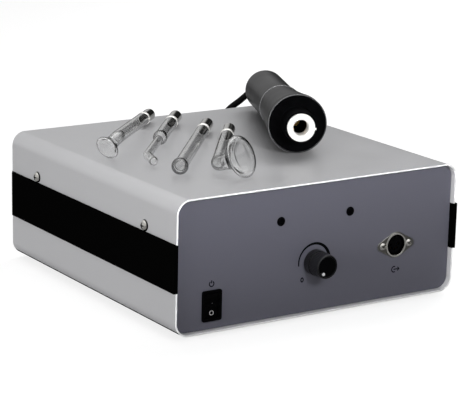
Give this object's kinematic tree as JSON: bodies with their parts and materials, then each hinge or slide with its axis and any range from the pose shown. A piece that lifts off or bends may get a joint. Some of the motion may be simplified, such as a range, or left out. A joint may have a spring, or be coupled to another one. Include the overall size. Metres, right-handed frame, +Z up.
{
  "type": "high-frequency electrode set",
  "caption": "Bench-top high-frequency unit with a knob, a rocker switch and an output socket, a handpiece on a lead and glass electrodes lying on the lid.",
  "frame": {"origin": "bottom centre of the set without its lead, under the feet", "axes": "+Z up, the front panel faces -Y, +X to the right of a viewer in front"},
  "size_m": [0.2336, 0.3515, 0.1373],
  "materials": {
    "silver_paint": "satin metallic paint",
    "rail_black": "satin black",
    "slate_paint": "satin slate paint",
    "nickel": "nickel plate",
    "foot_rubber": "matte",
    "black_plastic": "moulded satin",
    "grip_black": "satin",
    "mark_white": "paint fill",
    "lamp_dark": "smoked lens",
    "contact_brass": "bright",
    "pot_steel": "plain",
    "core_steel": "varnished laminations",
    "winding_copper": "enamelled copper wire",
    "board_green": "solder mask",
    "sink_aluminium": "plain",
    "can_blue": "sleeved can",
    "bush_white": "smooth",
    "former_cream": "moulded",
    "lead_black": "satin cable sheath",
    "clear_glass": "clear blown glass",
    "cap_steel": "spun"
  },
  "bodies": {
    "case": {"top_cover": "silver_paint", "base_tray": "silver_paint", "side_rail_left": "rail_black", "side_rail_right": "rail_black", "front_panel": "slate_paint", "rear_panel": "slate_paint", "cover_screws": "nickel", "rubber_feet": "foot_rubber", "foot_screws": "nickel", "switch_housing": "black_plastic", "switch_terminals": "contact_brass", "pot_body": "pot_steel", "pot_nut": "nickel", "indicator_lamps": "lamp_dark", "socket_flange": "nickel", "socket_insert": "black_plastic", "socket_contacts": "contact_brass", "socket_screws": "nickel", "mains_inlet": "black_plastic", "inlet_pins": "nickel", "inlet_screws": "nickel", "transformer_core": "core_steel", "transformer_winding": "winding_copper", "transformer_screws": "nickel", "circuit_board": "board_green", "board_posts": "contact_brass", "board_screws": "nickel", "heat_sink": "sink_aluminium", "transistor": "black_plastic", "capacitors": "can_blue"},
    "power_rocker": {"switch_rocker": "black_plastic"},
    "level_knob": {"control_knob": "black_plastic", "knob_dot": "mark_white", "pot_shaft": "pot_steel"},
    "handpiece": {"handpiece_grip": "grip_black", "handpiece_sleeve": "grip_black", "handpiece_nose": "grip_black", "socket_bush": "bush_white", "contact_spring": "contact_brass", "coil_former": "former_cream", "coil_winding": "winding_copper", "end_cap": "grip_black", "strain_relief": "lead_black", "lead_run": "lead_black", "lead_coil": "lead_black", "lead_tie": "rail_black", "lead_tail": "lead_black", "plug_boot": "lead_black", "plug_shell": "nickel", "plug_pins": "nickel"},
    "disc_electrode": {"disc_glass": "clear_glass", "disc_cap": "cap_steel"},
    "hook_electrode": {"hook_glass": "clear_glass", "hook_cap": "cap_steel"},
    "ball_electrode": {"ball_glass": "clear_glass", "ball_cap": "cap_steel"},
    "bell_electrode": {"bell_glass": "clear_glass", "bell_cap": "cap_steel"}
  },
  "joints": [
    {"name": "power_rocker_tilt", "type": "hinge", "parent": "case", "child": "power_rocker", "pos_m": [-0.0845, -0.1046, 0.0206], "axis": [-1, 0, 0], "range_deg": [0, 20]},
    {"name": "level_knob_turn", "type": "hinge", "parent": "case", "child": "level_knob", "pos_m": [-0.003, -0.105, 0.039], "axis": [0, 1, 0], "range_deg": [0, 290]},
    {"name": "handpiece_lift", "type": "slide", "parent": "case", "child": "handpiece", "axis": [0, 0, 1], "range_m": [0, 0.06]},
    {"name": "disc_electrode_lift", "type": "slide", "parent": "case", "child": "disc_electrode", "axis": [0, 0, 1], "range_m": [0, 0.05]},
    {"name": "hook_electrode_lift", "type": "slide", "parent": "case", "child": "hook_electrode", "axis": [0, 0, 1], "range_m": [0, 0.05]},
    {"name": "ball_electrode_lift", "type": "slide", "parent": "case", "child": "ball_electrode", "axis": [0, 0, 1], "range_m": [0, 0.05]},
    {"name": "bell_electrode_lift", "type": "slide", "parent": "case", "child": "bell_electrode", "axis": [0, 0, 1], "range_m": [0, 0.05]}
  ]
}
